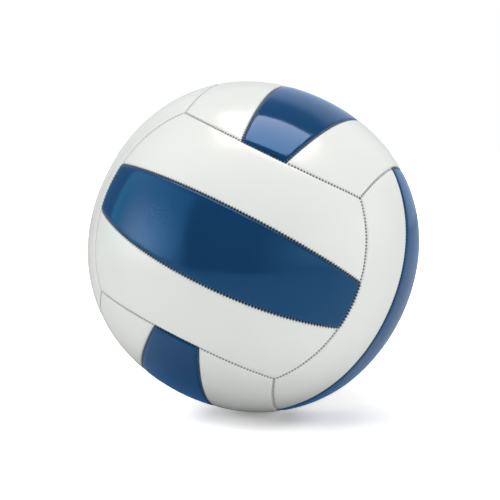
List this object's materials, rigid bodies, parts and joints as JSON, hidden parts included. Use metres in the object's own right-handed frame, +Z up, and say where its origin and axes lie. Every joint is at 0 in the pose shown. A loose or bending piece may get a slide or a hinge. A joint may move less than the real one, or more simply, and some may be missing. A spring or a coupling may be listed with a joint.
{
  "type": "volleyball",
  "caption": "Stitched indoor volleyball of blue and white strip panels over an air bladder with a needle valve.",
  "frame": {"origin": "centre of the ball", "axes": "+Z up from the floor that the ball lies on, -Y towards the viewer that its front face looks to, +X to the right"},
  "size_m": [0.21, 0.21, 0.21],
  "materials": {
    "cover_blue": "glossy PVC with a fine grain",
    "cover_white": "glossy PVC with a fine grain",
    "backing": "foam with a cloth face",
    "thread": "waxed polyester thread",
    "bladder_rubber": "smooth butyl rubber",
    "valve_rubber": "moulded rubber",
    "plug_rubber": "soft moulded rubber"
  },
  "bodies": {
    "root": {"panel_front_middle": "cover_blue", "panel_front_upper": "cover_white", "panel_front_lower": "cover_white", "panel_right_middle": "cover_blue", "panel_right_front": "cover_white", "panel_right_back": "cover_white", "panel_top_middle": "cover_blue", "panel_top_right": "cover_white", "panel_top_left": "cover_white", "panel_back_middle": "cover_blue", "panel_back_lower": "cover_white", "panel_back_upper": "cover_white", "panel_left_middle": "cover_blue", "panel_left_back": "cover_white", "panel_left_front": "cover_white", "panel_bottom_middle": "cover_blue", "panel_bottom_left": "cover_white", "panel_bottom_right": "cover_white", "backing_front_middle": "backing", "backing_front_upper": "backing", "backing_front_lower": "backing", "backing_right_middle": "backing", "backing_right_front": "backing", "backing_right_back": "backing", "backing_top_middle": "backing", "backing_top_right": "backing", "backing_top_left": "backing", "backing_back_middle": "backing", "backing_back_lower": "backing", "backing_back_upper": "backing", "backing_left_middle": "backing", "backing_left_back": "backing", "backing_left_front": "backing", "backing_bottom_middle": "backing", "backing_bottom_left": "backing", "backing_bottom_right": "backing", "thread_front": "thread", "thread_right": "thread", "thread_top": "thread", "thread_back": "thread", "thread_left": "thread", "thread_bottom": "thread", "thread_edge_front_right": "thread", "thread_edge_front_left": "thread", "thread_edge_right_top": "thread", "thread_edge_right_bottom": "thread", "thread_edge_top_front": "thread", "thread_edge_top_back": "thread", "thread_edge_back_right": "thread", "thread_edge_back_left": "thread", "thread_edge_left_top": "thread", "thread_edge_left_bottom": "thread", "thread_edge_bottom_front": "thread", "thread_edge_bottom_back": "thread", "bladder": "bladder_rubber", "valve_seat": "valve_rubber", "valve_insert": "plug_rubber", "valve_patch": "backing"}
  },
  "joints": []
}
